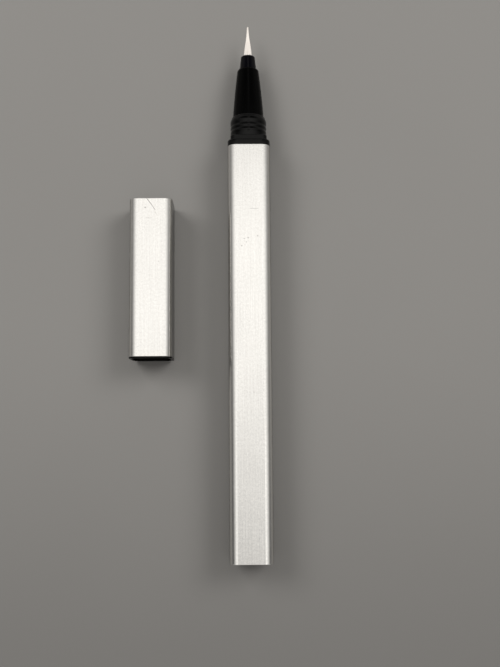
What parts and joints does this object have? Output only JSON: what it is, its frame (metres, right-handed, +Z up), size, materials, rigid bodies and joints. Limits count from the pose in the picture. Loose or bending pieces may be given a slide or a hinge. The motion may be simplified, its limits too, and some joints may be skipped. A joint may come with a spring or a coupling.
{
  "type": "liquid eyeliner pen",
  "caption": "Square satin aluminium liquid eyeliner pen lying uncapped, black ringed neck and tapered nose with a fine pale brush tip, its matching square cap beside it.",
  "frame": {"origin": "middle of the box around the pen and its cap, on the surface that they lie on", "axes": "+Y along the pen from its tail to its brush, +Z up from the resting flat, +X from the cap to the pen"},
  "size_m": [0.033, 0.128, 0.01],
  "materials": {
    "satin_aluminium": "clear anodised, satin, very fine lengthwise grain",
    "end_plug_plastic": "moulded, fine satin",
    "collar_plastic": "moulded, satin gloss",
    "cone_plastic": "moulded, polished",
    "holder_plastic": "moulded, satin gloss",
    "brush_fibre": "fine tapered filaments, undyed",
    "root_plastic": "filament ends melted into one head",
    "feed_fibre": "bonded fibre rod",
    "regulator_plastic": "moulded, unpigmented",
    "tube_plastic": "extruded, translucent",
    "stopper_plastic": "moulded, unpigmented",
    "seal_rubber": "moulded ring",
    "ball_steel": "polished stainless ball",
    "liner_plastic": "moulded, satin",
    "seal_cup_plastic": "soft, unpigmented",
    "spring_steel": "drawn stainless wire",
    "seat_plastic": "moulded"
  },
  "bodies": {
    "pen": {"barrel_shell": "satin_aluminium", "tail_plug": "end_plug_plastic", "neck_collar": "collar_plastic", "tube_seal_ring": "seal_rubber", "nose_cone": "cone_plastic", "tip_holder": "holder_plastic", "brush_tip": "brush_fibre", "brush_root": "root_plastic", "feed_rod": "feed_fibre", "ink_regulator": "regulator_plastic", "ink_tube": "tube_plastic", "ink_stopper": "stopper_plastic"},
    "mixing_ball": {"mixing_ball": "ball_steel"},
    "cap": {"cap_shell": "satin_aluminium", "cap_end_plug": "end_plug_plastic", "cap_liner": "liner_plastic", "seal_spring": "spring_steel", "spring_seat": "seat_plastic"},
    "seal_cup": {"seal_cup": "seal_cup_plastic"}
  },
  "joints": [
    {"name": "cap_slide", "type": "slide", "parent": "pen", "child": "cap", "axis": [0, 1, 0], "range_m": [0, 0.0815]},
    {"name": "seal_cup_press", "type": "slide", "parent": "cap", "child": "seal_cup", "axis": [0, 1, 0], "range_m": [0, 0.0015], "stiffness_N_per_m": 500, "springref_m": -0.001, "deforming": ["seal_spring"]},
    {"name": "ball_roll", "type": "slide", "parent": "pen", "child": "mixing_ball", "axis": [0, 1, 0], "range_m": [0, 0.0663]}
  ]
}
